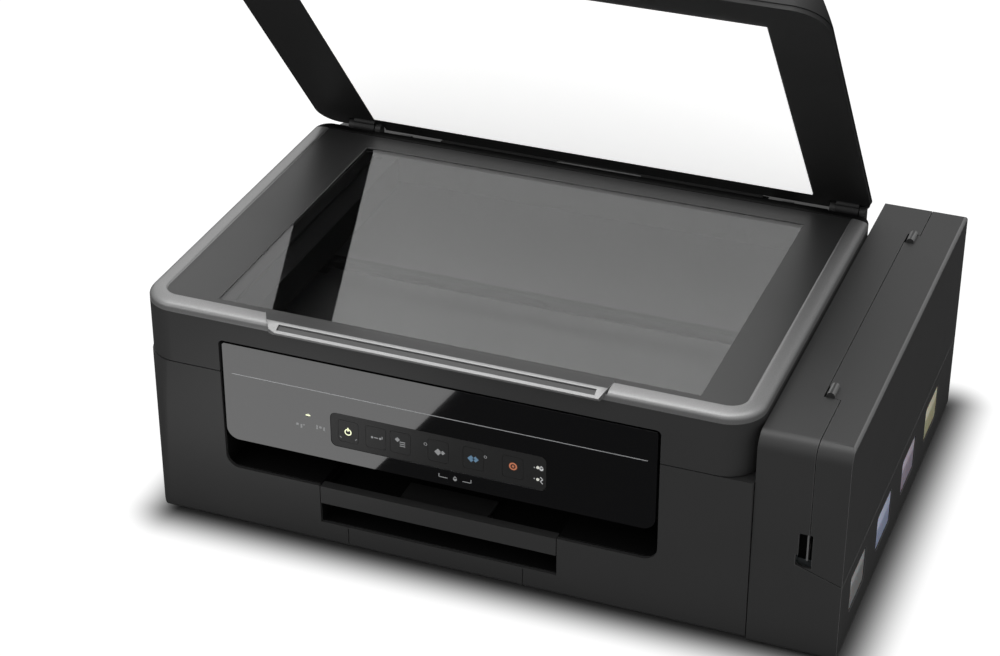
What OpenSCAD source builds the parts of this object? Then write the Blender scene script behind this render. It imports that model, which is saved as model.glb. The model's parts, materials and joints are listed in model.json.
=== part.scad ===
// Desk inkjet printer with a flatbed scanner on top and a refillable ink tank unit on its right side.
// Every piece is placed from the front left lower corner of the printer body, and the whole is then
// moved so that the origin lies on the desk, under the middle of the printer with its cover open.

/* [Case] */
// Width of the printer body without the tank unit
body_w = 390; // [370:5:470]
// Depth of the body from its front face to its rear face
body_d = 304; // [290:2:370]
// Height of the seam between the lower case and the scanner unit
seam_z = 114; // [112:1:137]
// Thickness of the moulded outer walls
wall = 2.5; // [2:0.1:3]
// Plan radius of the body's outer left corners
corner_r = 20; // [12:1:24]
// How far the front and left walls lean in towards the floor
draft = 1.7; // [0:0.1:3]
// Width of the chamfer along the case's lower edges
base_chamfer = 3; // [1:0.5:6]
// Width of the inward flange around the case's upper edge
flange_w = 7; // [4:0.5:9]
// Thickness of that flange
flange_t = 2; // [1.5:0.1:3]
// Gap along the seam between two outer shells
seam_gap = 0.6; // [0.3:0.1:1]
// Height of the rubber feet below the case
foot_h = 2; // [1.5:0.1:4]
// Radius of a rubber foot
foot_r = 9; // [6:0.5:12]
// Distance of the feet's centres from the case's sides
foot_inset = 30; // [24:1:40]

/* [Paper exit and output tray] */
// Left edge of the opening in the front face
exit_x = 54; // [48:1:60]
// Width of that opening
exit_w = 280.5; // [260:0.5:290]
// Height of the opening's lower edge
exit_z = 44.5; // [42:0.5:52]
// Radius of the opening's lower corners
exit_r = 9; // [4:0.5:12]
// Depth of the dark recess behind the opening
exit_d = 60; // [50:1:66]
// Left edge of the tray's mouth
tray_x = 117; // [105:1:125]
// Width of the tray's mouth
tray_w = 155; // [140:1:170]
// Lower edge of the tray's front strip
grip_z = 32; // [30:0.5:34]
// Lower edge of the finger slot under the strip
finger_z = 17.5; // [14:0.5:20]
// Depth of the finger slot
finger_d = 22; // [16:1:30]
// Clearance between sliding tray parts
slide_gap = 0.5; // [0.3:0.05:1]
// Thickness of the tray plates
tray_t = 2.4; // [2:0.1:3]
// Length of the inner tray stage
tray_len = 176; // [150:1:190]
// Length of the front tray stage
front_len = 140; // [110:1:150]
// Thickness of the tray's front strip from front to back
strip_t = 6; // [5:0.5:8]
// Width of the stopper flap
stopper_w = 58; // [40:1:70]
// Length of the stopper flap
stopper_len = 20; // [14:1:21]

/* [Control panel] */
// Gap between the gloss panel and the opening around it
panel_gap = 1.8; // [1:0.1:3]
// Height of the panel's lower edge
panel_z = 66; // [64:0.5:70]
// Height of the panel's upper edge
panel_top = 134; // [128:0.5:138]
// Thickness of the gloss plate
gloss_t = 2; // [1.5:0.1:3]
// How far the gloss plate lies behind the front face
panel_inset = 0.8; // [0.4:0.1:1.5]
// Depth of the panel's carrier
carrier_d = 11; // [9:0.5:12]
// Left edge of the button strip
keys_x = 126.5; // [115:0.5:140]
// Width of the button strip
keys_w = 138.5; // [130:0.5:160]
// Height of the button strip
keys_h = 23.5; // [22:0.5:26]
// Height of the button strip's middle above the desk
keys_z = 88.8; // [84:0.2:94]
// Corner radius of the button strip
keys_r = 4; // [2:0.5:6]
// Width of a button
button_w = 13; // [10:0.5:14]
// Height of a button
button_h = 15; // [12:0.5:18]
// Gap around a button
button_gap = 0.15; // [0.1:0.05:0.4]
// Travel of a button
button_travel = 0.8; // [0.5:0.1:1.2]

/* [Scanner unit] */
// Depth of the scanner unit
scanner_d = 266; // [260:1:270]
// Height of the scanner unit from the seam to its outer rim
scanner_h = 39.4; // [38:0.2:48]
// Plan radius of the scanner unit's front corners
scanner_r = 22; // [14:1:26]
// Width of the sloping rim
rim_w = 9; // [6:0.5:12]
// How far the rim rises from its outer edge to its crest
rim_rise = 1.8; // [1:0.1:3]
// Thickness of the rim's outer edge
rim_t = 4.4; // [3:0.1:6]
// Left edge of the glass that shows
glass_x = 47.2; // [40:0.2:60]
// Width of the glass that shows
glass_w = 305; // [297:1:310]
// Distance of the showing glass behind the front face
glass_y = 16.5; // [14:0.5:20]
// Depth of the glass that shows
glass_d = 221.5; // [216:0.5:226]
// Thickness of the glass
glass_t = 3; // [2:0.1:4]
// Overlap of the bezel on the glass
glass_lap = 3; // [2:0.5:4]
// Left end of the front grip's lower edge
grip_x = 90; // [84:1:100]
// Width of the front grip
grip_w = 213; // [180:1:230]
// How far the front grip stands out of the front face
grip_out = 5; // [3:0.5:8]
// Width of the scan head
head_w = 24; // [18:1:28]
// Radius of the scan head's rail
rail_r = 3; // [2.5:0.1:4]
// Radial running clearance of shafts in their bores
run_gap = 0.05; // [0.02:0.01:0.1]
// Length of the stay that props the scanner unit
stay_len = 100; // [80:1:110]
// Radius of the scanner unit's hinge pins
hinge_pin_r = 2.5; // [2:0.1:3]

/* [Document cover] */
// Angle from closed at which the cover stands
cover_open = 50.75; // [0:0.25:75]
// Thickness of the cover
cover_t = 13.8; // [11:0.2:15]
// Distance of the cover's front edge from its hinge
cover_len = 261; // [258:0.5:263]
// Length of the cover behind its hinge
cover_tail = 6; // [5:0.5:7]
// Thickness of the white pad
pad_t = 3; // [2:0.2:5]
// Width of the white pad
pad_w = 308.5; // [300:0.5:316]
// Depth of the white pad
pad_d = 225; // [218:0.5:230]
// Distance of the pad's rear edge from the hinge
pad_back = 10.6; // [9:0.2:16]
// Plan radius of the cover's rear corners
cover_r = 16; // [10:0.5:20]
// How far the cover stands out over the body's left side
cover_out = 3.5; // [0:0.1:5]
// How far the cover stays back from the body's right side
cover_back = 1; // [0:0.1:3]
// How far the shell's side walls lean in towards its top
cover_lean = 7.5; // [6:0.5:9]
// Width of a hinge arm
arm_w = 15; // [12:0.5:16]
// Distance of the left hinge arm from the body's left side
arm_x = 26; // [24:0.5:28]

/* [Ink tank unit] */
// Width of the tank unit
tank_w = 54.5; // [50:0.5:64]
// Gap between the body and the tank unit
tank_gap = 0.5; // [0.4:0.1:1]
// Height of the tank unit's top
tank_z = 145.3; // [140:0.1:150]
// Radius of the tank unit's upper front edge
tank_r = 10; // [4:0.5:14]
// Radius of its upper rear edge
tank_rear_r = 2; // [1:0.1:4]
// Distance of the cover's hinge axis from the unit's inner side
tank_hinge_x = 27.5; // [26:0.5:30]
// Height of the cover's lower edge at its side
side_seam_z = 50; // [47:0.5:56]
// Length of an ink window
window_len = 36.5; // [26:0.5:40]
// Height of an ink window
window_h = 25; // [16:0.5:26]
// Height of the windows' lower edge
window_z = 19; // [14:0.5:20]
// Distance between two windows' starts
window_pitch = 65; // [58:0.5:66]
// Distance of the first window behind the front face
window_y = 26; // [24:0.5:32]
// Height of an ink tank
ink_h = 84; // [70:1:90]

/* [Paper feed and print mechanism] */
// Lean of the rear paper path from the vertical in degrees
feed_lean = 25; // [20:1:27]
// Height of the rear deck above the seam
deck_h = 23; // [18:0.5:24]
// Width of the paper support
support_w = 230; // [218:1:240]
// Radius of the feed roller
feed_r = 6; // [5:0.5:6.5]
// Radius of the eject roller's rubber rings
eject_r = 7; // [6:0.5:7.5]
// Radius of the pick-up roller
pickup_r = 15; // [12:0.5:16]
// Radius of the star wheels
star_r = 4; // [3.5:0.1:4.4]
// Radius of the belt wheels on the rollers
wheel_r = 12; // [10:0.5:13]
// Radius of the feed motor's pulley
pulley_r = 5; // [4:0.5:6]
// Radius of the carriage belt's pulleys
belt_r = 6; // [5:0.5:7]
// Thickness of a drive belt
belt_t = 1.2; // [0.8:0.1:1.6]
// Width of the print carriage
carriage_w = 60; // [50:1:66]
// Radius of the carriage's guide rod
rod_r = 4; // [3:0.1:5]
// Thickness of the chassis plates
plate_t = 1.6; // [1:0.1:2]
// Outer radius of an ink tube
tube_r = 1.5; // [1:0.1:2]

/* [Hidden] */
$fn = 64;

// Overall sizes and the planes that several pieces share
total_w = cover_out + body_w + tank_gap + tank_w;
left_x = cover_out - total_w / 2;
front_y = -(body_d - grip_out) / 2;
case_top = seam_z - seam_gap;
rim_z = seam_z + scanner_h;
crest_z = rim_z + rim_rise;
bezel_z = rim_z + 0.8;
glass_top = bezel_z - 0.6;
grip_top = crest_z + 0.3;
grip_mid = 2.8;
grip_back = 12;
plate_in = wall + 7.5;
touch = 0.3;
overrun = 1;

// Hinge of the document cover and hinge of the scanner unit
cover_hinge_y = scanner_d + 2;
cover_hinge_z = rim_z + 0.2;
cover_under = crest_z - cover_hinge_z + 0.6;
pad_face = 1.7;
lift_y = scanner_d + 10;
deck_y = scanner_d + 2;
deck_z = seam_z + deck_h;
lift_z = deck_z + 5;
ear_t = 8;
deck_end_w = 12;
deck_end_h = 3;
ear_x = arm_x + arm_w + 14;
arm_right = 9;

// Paper path: its foot, and the heights at which rollers stand
feed_foot_y = body_d - 49;
feed_foot_z = 66;
roller_z = 58;
eject_y = 78;
feed_y = 140;
motor_y = 175;
motor_z = 40;
motor_r = 14;
rod_y = 146;
rod_z = 84;
belt_y = 156;
belt_z = 98;
belt_w = 5;
carriage_home = body_w - 94;
rail_y = 128;
rail_z = seam_z + 10;
right_plate = body_w - plate_in - plate_t;

// Panel opening and the gloss plate within it
panel_x = exit_x + panel_gap;
panel_w = exit_w - 2 * panel_gap;
opening_top = panel_top + panel_gap;
gloss_back = panel_inset + gloss_t;
carrier_y = gloss_back + touch;
keys_mid = keys_x + keys_w / 2;
button_x = [11.5, 29.5, 45.5, 70, 92.5, 117.5];

// Tank unit
tank_x = body_w + tank_gap;
tank_right = tank_x + tank_w;
tank_front = 1.6;
tank_rear = body_d - 1;
tank_wall = 2.2;
tank_axis_z = tank_z + 0.6;
tank_seam_x = tank_x + 33.5;
rear_seam_x = tank_seam_x - 2.3;
tank_tab_x = tank_x + 23.3;
knuckle_r = 2.6;
rail_w = 2;

// Everything below is drawn in the frame of the body's front left lower corner
module place() translate([left_x, front_y, 0]) children();

// Box between two opposite corners
module block(lo, hi) translate(lo) cube(hi - lo);

// Straight prisms along Y and X: their outlines are drawn as (x, z) and as (y, z)
module along_y(y0, y1) translate([0, y1, 0]) rotate([90, 0, 0]) linear_extrude(y1 - y0) children();
module along_x(x0, x1) translate([x0, 0, 0]) rotate([90, 0, 90]) linear_extrude(x1 - x0) children();
module rod_x(x0, x1, y, z, r) translate([x0, y, z]) rotate([0, 90, 0]) cylinder(h = x1 - x0, r = r);
module rod_along_y(y0, y1, x, z, r) translate([x, y0, z]) rotate([-90, 0, 0]) cylinder(h = y1 - y0, r = r);

// What a rounded corner takes off a square one; way points into the outline
module nick(p, way, r) translate(p) difference() {
    translate([way[0] > 0 ? -1 : -r, way[1] > 0 ? -1 : -r]) square(r + 1);
    translate([way[0] * r, way[1] * r]) circle(r);
}

// Rectangle with a radius of its own at each corner: low left, low right, high left, high right
module rounded(lo, hi, r) difference() {
    translate(lo) square(hi - lo);
    if (r[0] > 0) nick(lo, [1, 1], r[0]);
    if (r[1] > 0) nick([hi[0], lo[1]], [-1, 1], r[1]);
    if (r[2] > 0) nick([lo[0], hi[1]], [1, -1], r[2]);
    if (r[3] > 0) nick(hi, [-1, -1], r[3]);
}

// ---------------------------------------------------------------- lower case

// Outline of the case in plan, drawn in by a wall's thickness for its inside
module case_plan(inset) rounded([inset, inset], [body_w - inset, body_d - inset],
    [corner_r - inset, 1.2, corner_r / 2 - inset / 2, 1.2]);

// The case's outer form: upright corners cut to leaning front and left walls with chamfered feet
module case_form(inset, z0, z1) intersection() {
    translate([0, 0, z0]) linear_extrude(z1 - z0) case_plan(inset);
    along_y(-overrun, body_d + overrun) lean_outline(inset, body_w + overrun);
    along_x(-overrun, body_w + overrun) lean_outline(inset, body_d + overrun);
}

// Upright section whose near side leans in by the draft towards a chamfered foot
module lean_outline(inset, far) polygon([
    [inset, case_top + overrun], [inset + draft, foot_h + base_chamfer],
    [inset + draft + base_chamfer, foot_h], [far, foot_h], [far, case_top + overrun]]);

// Opening for the paper and the panel, as an outline in the front view
module exit_outline(grow, top) rounded([exit_x - grow, exit_z - grow],
    [exit_x + exit_w + grow, top], [exit_r + grow, exit_r + grow, 0, 0]);

module lower_case() color("#303032") place() difference() {
    union() {
        difference() {
            case_form(0, foot_h, case_top);
            case_form(wall, foot_h + wall, case_top + overrun);
        }
        difference() {
            case_form(wall / 2, case_top - flange_t, case_top);
            block([flange_w + wall, flange_w + wall, 0],
                [body_w - flange_w - wall, body_d - flange_w - wall, seam_z]);
        }
        // Ledge that closes the case under the scanner unit's round right corner
        block([body_w - scanner_r - 4, wall / 2, case_top - flange_t],
            [body_w - wall / 2, scanner_r + 2, case_top]);
    }
    along_y(-overrun, flange_w + wall + overrun) exit_outline(0, seam_z);
    block([tray_x, -overrun, finger_z], [tray_x + tray_w, wall + overrun + draft, exit_z + overrun]);
    // Fine seams of the tray's lower cover
    for (x = [tray_x + 18, tray_x + tray_w - 22])
        block([x, -overrun, 0], [x + 0.6, draft + 0.6, finger_z - overrun]);
    block(inlet_lo() - [touch, overrun, touch], inlet_hi() + [touch, overrun, touch]);
    block(usb_lo() - [touch, overrun, touch], usb_hi() + [touch, overrun, touch]);
    screw_places() translate([0, 0, -overrun]) cylinder(h = wall + 2 * overrun, r = 1.5 + run_gap);
    // Slot in the flange through which the stay swings
    block([stay_x() - 3, stay_y() - 7, case_top - flange_t - overrun],
        [body_w - wall, stay_y() + stay_len + 8, seam_z]);
    // Passage of the ink tubes to the tank unit
    block([body_w - wall - overrun, tube_y() - 9, tube_z() - 4],
        [body_w + overrun, tube_y() + 9, tube_z() + 4]);
}

module feet() color("#161617") place() for (x = [foot_inset, body_w - foot_inset])
    for (y = [foot_inset, body_d - foot_inset]) translate([x, y, 0]) cylinder(h = foot_h, r = foot_r);

// Screws driven up through the case's floor into the chassis
module case_screws() color("#8d8f92") place() screw_places() translate([0, 0, -0.6]) {
    cylinder(h = 0.6, r = 3.4);
    cylinder(h = wall + 3, r = 1.5);
}

module screw_places() for (x = [60, body_w - 60]) for (y = [60, body_d - 20])
    translate([x, y, foot_h]) children();

// Dark housing behind the opening: the recess, the finger slot and the tray's channel
module tray_housing() color("#101011") place() difference() {
    union() {
        block([exit_x - wall, wall + touch + draft, exit_z - wall],
            [exit_x + exit_w + wall, exit_d, panel_z - 1]);
        block([tray_x - wall - 3, wall + touch + draft, finger_z - wall],
            [tray_x + tray_w + wall + 3, wall + touch + draft + finger_d, exit_z]);
        block([tray_x - wall - 3, wall + touch + draft, grip_z - wall],
            [tray_x + tray_w + wall + 3, tray_len + 24, exit_z]);
    }
    block([exit_x, -overrun, exit_z], [exit_x + exit_w, exit_d + overrun, panel_z]);
    block([tray_x, -overrun, finger_z], [tray_x + tray_w, finger_d, grip_z - touch]);
    block([tray_x, -overrun, grip_z - touch], [tray_x + tray_w, tray_len + 20, exit_z + overrun]);
}

// ---------------------------------------------------------------- rear of the case

function inlet_lo() = [48, body_d - 24, 16];
function inlet_hi() = [76, body_d, 36];
function usb_lo() = [body_w - 60, body_d - 16, 20];
function usb_hi() = [body_w - 46, body_d, 33];

// Mains inlet with two contact pins in an open socket
module ac_inlet() color("#1b1b1c") place() {
    difference() {
        block(inlet_lo(), inlet_hi());
        block(inlet_lo() + [3, 8, 4], inlet_hi() + [-3, overrun, -4]);
    }
    for (s = [-1, 1]) rod_along_y(body_d - 17, body_d - 6, inlet_lo()[0] + 14 + s * 4.3, 26, 1.2);
}

// Upright data socket with its contact tongue
module usb_port() color("#a9abae") place() {
    difference() {
        block(usb_lo(), usb_hi());
        block(usb_lo() + [1.2, 4, 1.2], usb_hi() + [-1.2, overrun, -1.2]);
    }
    block(usb_lo() + [4.4, 3, 5.2], [usb_hi()[0] - 4.4, body_d - 5, usb_hi()[2] - 4.6]);
}

// Rear deck: low box behind the scanner unit with the paper slot and the scanner's hinge ears
module rear_deck() color("#2b2b2d") place() difference() {
    union() {
        difference() {
            deck_form(0, seam_z, deck_z);
            deck_form(wall, seam_z - overrun, deck_z - wall);
        }
        for (x = ear_places()) along_x(x, x + ear_t) {
            translate([lift_y, lift_z]) circle(5.4);
            translate([lift_y - 5.4, deck_z - overrun]) square([10.8, lift_z - deck_z + overrun]);
        }
    }
    block([support_x() - 3, slot_front(), seam_z],
        [support_x() + support_w + 3, slot_rear(), deck_z + overrun]);
    for (x = ear_places()) rod_x(x - overrun, x + ear_t + overrun, lift_y, lift_z, hinge_pin_r + run_gap);
}

// The deck's outer form, drawn in by an inset for its hollow: its right end is low beside the tank unit
module deck_form(inset, z0, z1) difference() {
    translate([0, 0, z0]) linear_extrude(z1 - z0) deck_plan(inset);
    block([body_w - deck_end_w - inset, deck_y - overrun, seam_z + deck_end_h - inset],
        [body_w + overrun, body_d + overrun, deck_z + overrun]);
}

module deck_plan(inset) rounded([inset, deck_y + inset], [body_w - inset, body_d - inset],
    [0, 0, corner_r / 2 - inset / 2, 1.2]);

function ear_places() = [ear_x, body_w - ear_x - ear_t];
function support_x() = body_w / 2 - support_w / 2;
// Where the leaning paper path passes the deck
function feed_at(z) = feed_foot_y + (z - feed_foot_z) * tan(feed_lean);
function slot_front() = feed_at(deck_z) - 8;
function slot_rear() = body_d - wall - 3;

// ---------------------------------------------------------------- electronics and frame inside

// Upright board behind the paper path with a heat sink and a row of connectors
module main_board() color("#1f5a36") place() {
    block([body_w - 130, body_d - 15, 40], [body_w - 40, body_d - 13.4, 100]);
    block([body_w - 100, body_d - 13.4, 62], [body_w - 84, body_d - 10, 78]);
    for (i = [0 : 4])
        block([body_w - 122 + i * 16, body_d - 13.4, 44], [body_w - 112 + i * 16, body_d - 8, 50]);
}

module power_supply() color("#55585c") place() difference() {
    block([30, body_d - 84, foot_h + wall + touch], [120, body_d - 28, 30]);
    for (i = [0 : 6]) block([40 + i * 11, body_d - 80, 29], [44 + i * 11, body_d - 40, 31]);
}

// Sheet-metal frame: a plate at each end and a rear plate that join the rollers and the rod
module chassis_frame() color("#9a9da0") place() difference() {
    union() {
        for (x = [plate_in, right_plate]) block([x, 66, 46], [x + plate_t, 196, case_top - 12]);
        block([plate_in, belt_y + 6, 60], [right_plate + plate_t, belt_y + 6 + plate_t, case_top - 2]);
    }
    for (x = [plate_in, right_plate]) {
        rod_x(x - overrun, x + plate_t + overrun, rod_y, rod_z, rod_r);
        rod_x(x - overrun, x + plate_t + overrun, feed_y, roller_z, shaft_r() + run_gap);
        rod_x(x - overrun, x + plate_t + overrun, eject_y, roller_z, shaft_r() + run_gap);
        rod_x(x - overrun, x + plate_t + overrun, eject_y, star_z(), 1 + run_gap);
    }
    for (x = belt_ends()) rod_along_y(belt_y, belt_y + 10, x, belt_z, 2 + run_gap);
}

function shaft_r() = 3;
function star_z() = roller_z + eject_r + star_r + touch;
function belt_ends() = [plate_in + 16, right_plate - 16];
function tube_y() = tank_rear - 40;
function tube_z() = 48;

module guide_rod() color("#c9ccd0") place()
    rod_x(plate_in - 1, right_plate + plate_t + 1, rod_y, rod_z, rod_r);

// Ribbed table under the print head
module platen() color("#1a1a1b") place() {
    block([plate_in + plate_t + touch, 90, 48], [right_plate - touch, 128, 54]);
    for (i = [0 : 10]) block([60 + i * 22, 90, 54], [61.6 + i * 22, 128, 57]);
}

// Parking place of the print head, with its rubber cap's rim
module capping_station() color("#26262a") place() difference() {
    union() {
        block([carriage_home + 4, 92, 54 + touch], [carriage_home + carriage_w - 8, 126, 57]);
        block([carriage_home + 10, 97, 57], [carriage_home + carriage_w - 14, 121, 59.4]);
    }
    block([carriage_home + 12, 99, 56], [carriage_home + carriage_w - 16, 119, 60]);
}

// Carriage motor on the rear plate and feed motor on the left plate, with their shafts
module drive_motors() color("#a4a6a9") place() {
    x = belt_ends()[1];
    back = belt_y + 6 + plate_t;
    rod_along_y(back, back + 32, x, belt_z, motor_r);
    rod_along_y(belt_y - 1, back, x, belt_z, 1.5);
    rod_x(plate_in + plate_t, plate_in + plate_t + 32, motor_y, motor_z + 4, motor_r - 2);
    rod_x(wall + 1.5, plate_in + plate_t, motor_y, motor_z, 1.5);
}

// Toothless side view of a belt: a band round the outline that its pulleys share
module band(centres, radii) difference() {
    hull() for (i = [0 : len(centres) - 1]) translate(centres[i]) circle(radii[i] + belt_t);
    hull() for (i = [0 : len(centres) - 1]) translate(centres[i]) circle(radii[i]);
}

module carriage_belt() color("#19191a") place() along_y(belt_y, belt_y + belt_w)
    band([for (x = belt_ends()) [x, belt_z]], [belt_r + 0.1, belt_r + 0.1]);

module feed_belt() color("#19191a") place() along_x(wall + 2.4, wall + 2.4 + belt_w - 1)
    band([[eject_y, roller_z], [feed_y, roller_z], [motor_y, motor_z]],
        [wheel_r + 0.1, wheel_r + 0.1, pulley_r + 0.1]);

// Pulley with a bore that runs on its shaft
module pulley(h, r, bore) difference() {
    cylinder(h = h, r = r);
    translate([0, 0, -overrun]) cylinder(h = h + 2 * overrun, r = bore);
}

module motor_pulley() color("#c7b27a") place() translate([belt_ends()[1], belt_y + 0.3, belt_z])
    rotate([-90, 0, 0]) pulley(belt_w - 0.6, belt_r, 1.5 + run_gap);

module idler_pulley() color("#d9d9d6") place() translate([belt_ends()[0], belt_y + 0.3, belt_z])
    rotate([-90, 0, 0]) {
        pulley(belt_w - 0.6, belt_r, 1);
        cylinder(h = 8, r = 2);
    }

module feed_pulley() color("#c7b27a") place() translate([wall + 2.6, motor_y, motor_z])
    rotate([0, 90, 0]) pulley(belt_w - 1.4, pulley_r, 1.5 + run_gap);

// Shaft in the chassis plates with its belt wheel outside the left plate
module driven_shaft(y) {
    rod_x(wall + 2.6, right_plate + plate_t + 1.5, y, roller_z, shaft_r());
    rod_x(wall + 2.6, wall + 2.6 + belt_w - 1.4, y, roller_z, wheel_r);
}

module feed_roller() color("#b5b8bb") place() {
    driven_shaft(feed_y);
    rod_x(plate_in + plate_t + 2, right_plate - 2, feed_y, roller_z, feed_r);
}

module eject_roller() color("#3a3a3c") place() {
    driven_shaft(eject_y);
    for (x = ring_places()) rod_x(x, x + 12, eject_y, roller_z, eject_r);
}

function ring_places() = [for (i = [0 : 5]) 70 + i * 46];

// Spiked wheels above the eject roller, drawn as thin discs on one fine shaft
module star_wheels() color("#c4c6c8") place() {
    rod_x(plate_in - 1, right_plate + plate_t + 1, eject_y, star_z(), 1);
    for (x = ring_places()) rod_x(x + 5.5, x + 6.5, eject_y, star_z(), star_r);
}

// Pick-up roller that pulls a sheet off the stack
module pickup_roller() color("#5a5b5e") place() {
    rod_x(plate_in + 6, right_plate - 6, pickup_at()[0], pickup_at()[1], shaft_r());
    rod_x(150, 200, pickup_at()[0], pickup_at()[1], pickup_r);
}

function pickup_at() = [feed_at(80) - (pickup_r + 0.8) * cos(feed_lean),
    80 + (pickup_r + 0.8) * sin(feed_lean)];

// Carriage with a bearing round the guide rod and a foot that grips the belt
module print_carriage() color("#1d1d1f") place() difference() {
    x = carriage_home;
    union() {
        block([x, 88, 68], [x + carriage_w, 134, case_top - 7]);
        block([x, 134, rod_z - 7], [x + carriage_w, rod_y + 7, rod_z + 7]);
        block([x + 20, rod_y, rod_z + 7], [x + carriage_w - 20, belt_y - 0.6, belt_z - 3]);
    }
    rod_x(x - overrun, x + carriage_w + overrun, rod_y, rod_z, rod_r + run_gap);
    block([x + 3, 91, 74], [x + carriage_w - 3, 131, seam_z]);
}

module print_head() color("#2c2c30") place() {
    x = carriage_home;
    block([x + 8, 96, 60], [x + carriage_w - 18, 122, 68]);
    for (i = [0 : 3]) block([x + 5 + i * 12.8, 94, 74], [x + 15 + i * 12.8, 126, 96]);
}

// Four ink tubes from the tanks through the case's side to a clamp on the rear plate
module ink_tubes() color("#8f9396") place() for (i = [0 : 3]) {
    y = tube_y() - 6 + i * 4;
    rod_x(right_plate - 30, tank_x + 4.4, y, tube_z(), tube_r);
}

// ---------------------------------------------------------------- output tray

// Inner stage: a plate with a rail at each side that guides the front stage
module output_tray() color("#1c1c1d") place() {
    z = grip_z + 1;
    block([tray_x + slide_gap, 10, z], [tray_x + tray_w - slide_gap, 10 + tray_len, z + tray_t]);
    for (x = [tray_x + slide_gap, tray_x + tray_w - slide_gap - rail_w])
        block([x, 10, z + tray_t], [x + rail_w, 10 + tray_len, z + 8]);
}

// Front stage: a plate whose front edge is the strip that shows
module tray_extension() color("#262628") place() difference() {
    z = grip_z + 1 + tray_t + slide_gap;
    x0 = tray_x + slide_gap;
    x1 = tray_x + tray_w - slide_gap;
    union() {
        block([x0 + rail_w + slide_gap, strip_t, z], [x1 - rail_w - slide_gap, front_len, z + tray_t]);
        block([x0, draft * 0.7, grip_z], [x1, strip_t + draft, exit_z - 0.3]);
        // Ears that hold the stopper's pin
        for (x = [stopper_x() - touch - 3, stopper_x() + stopper_w + touch])
            block([x, strip_t + draft - 1, z + tray_t - 1], [x + 3, stopper_y() + 2.4, stopper_z() + 2.4]);
    }
    block([stopper_x() - touch, strip_t + draft + 1, z + tray_t - 1.2],
        [stopper_x() + stopper_w + touch, strip_t + draft + stopper_len + 5, z + tray_t + overrun]);
    rod_x(stopper_x() - 4, stopper_x() + stopper_w + 4, stopper_y(), stopper_z(), 1.2 + run_gap);
}

function stopper_x() = tray_x + tray_w / 2 - stopper_w / 2;
function stopper_y() = strip_t + draft + 3;
function stopper_z() = grip_z + 1 + 2 * tray_t + slide_gap + 1;

// Flap at the tray's front that stops the sheets; it turns up about its front edge
module tray_stopper() color("#29292b") place() {
    rod_x(stopper_x() - 3, stopper_x() + stopper_w + 3, stopper_y(), stopper_z(), 1.2);
    block([stopper_x(), stopper_y(), stopper_z() - 1],
        [stopper_x() + stopper_w, stopper_y() + stopper_len, stopper_z() + 1]);
}

// ---------------------------------------------------------------- rear paper feed

// Frame of the leaning paper path: x across, y behind the path, z up along it from its foot
module on_path() place() translate([0, feed_foot_y, feed_foot_z]) rotate([-feed_lean, 0, 0]) children();

module paper_support() color("#29292b") on_path() difference() {
    block([support_x(), 1.5, -36], [support_x() + support_w, 4.5, 92]);
    block([support_x() + support_w / 2 - 30, 0, 82], [support_x() + support_w / 2 + 30, 3, 93]);
}

module support_extension() color("#232325") on_path()
    block([body_w / 2 - 60, 5, -42], [body_w / 2 + 60, 7.4, 88]);

module edge_guide() color("#303033") on_path() {
    block([support_x() + 12, -5.5, 48], [support_x() + 15, 0.9, 78]);
    block([support_x() + 12, -0.9, 48], [support_x() + 26, 0.9, 70]);
}

// ---------------------------------------------------------------- control panel

// Carrier behind the gloss plate: a shallow box open to the rear, with flanges behind the case wall
module panel_housing() color("#151516") place() difference() {
    union() {
        difference() {
            along_y(carrier_y, carrier_d) panel_outline();
            block([panel_x + 2, carrier_y + 2, panel_z + 2],
                [panel_x + panel_w - 2, carrier_d + overrun, panel_top - 2]);
        }
        for (x = [exit_x - 6, exit_x + exit_w - 1 - panel_gap])
            block([x, wall + draft + touch, panel_z + 6],
            [x + 7 + panel_gap, wall + draft + 2, case_top - 8]);
    }
    for (x = button_x) along_y(0, carrier_d) button_outline(x, button_gap);
    for (p = light_places()) rod_along_y(0, carrier_d, p[0], p[1], 2);
}

module panel_outline() rounded([panel_x, panel_z], [panel_x + panel_w, panel_top], [8, 8, 2, 2]);

module keys_outline(grow) rounded([keys_x - grow, keys_z - keys_h / 2 - grow],
    [keys_x + keys_w + grow, keys_z + keys_h / 2 + grow], [keys_r, keys_r, keys_r, keys_r]);

module gloss_panel() color("#0c0c0d") place() difference() {
    along_y(panel_inset, gloss_back) panel_outline();
    along_y(0, gloss_back + overrun) keys_outline(0.15);
    rod_along_y(0, gloss_back + overrun, light_places()[2][0], light_places()[2][1], 1.1);
}

module button_strip() color("#3a3b3e") place() difference() {
    along_y(panel_inset + 0.2, gloss_back) keys_outline(0);
    for (x = button_x) along_y(0, gloss_back + overrun) button_outline(x, button_gap);
    for (p = [light_places()[0], light_places()[1]]) rod_along_y(0, gloss_back + overrun, p[0], p[1], 1.5);
}

module button_outline(x, grow) rounded([keys_x + x - button_w / 2 - grow, keys_z - button_h / 2 - grow],
    [keys_x + x + button_w / 2 + grow, keys_z + button_h / 2 + grow], [2, 2, 2, 2]);

// Button cap with the stem that presses its switch
module button(i) color("#3a3b3e") place() {
    along_y(panel_inset + 0.2, gloss_back - 0.1) button_outline(button_x[i], 0);
    rod_along_y(gloss_back - 0.1, carrier_d - 2 - button_travel, keys_x + button_x[i], keys_z, 1.6);
}

module button_power() button(0);
module button_wireless() button(1);
module button_status() button(2);
module button_mono() button(3);
module button_colour() button(4);
module button_stop() button(5);

// Ink light, paper light and the status light to the left of the strip
function light_places() = [[keys_x + 133.2, keys_z + 3.6], [keys_x + 133.2, keys_z - 4.8],
    [keys_x - 14.8, keys_z + 6]];

module indicator_lights() color("#d8d8c8") place() for (p = light_places())
    rod_along_y(panel_inset + touch, carrier_d - 1.6, p[0], p[1], 1);

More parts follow.
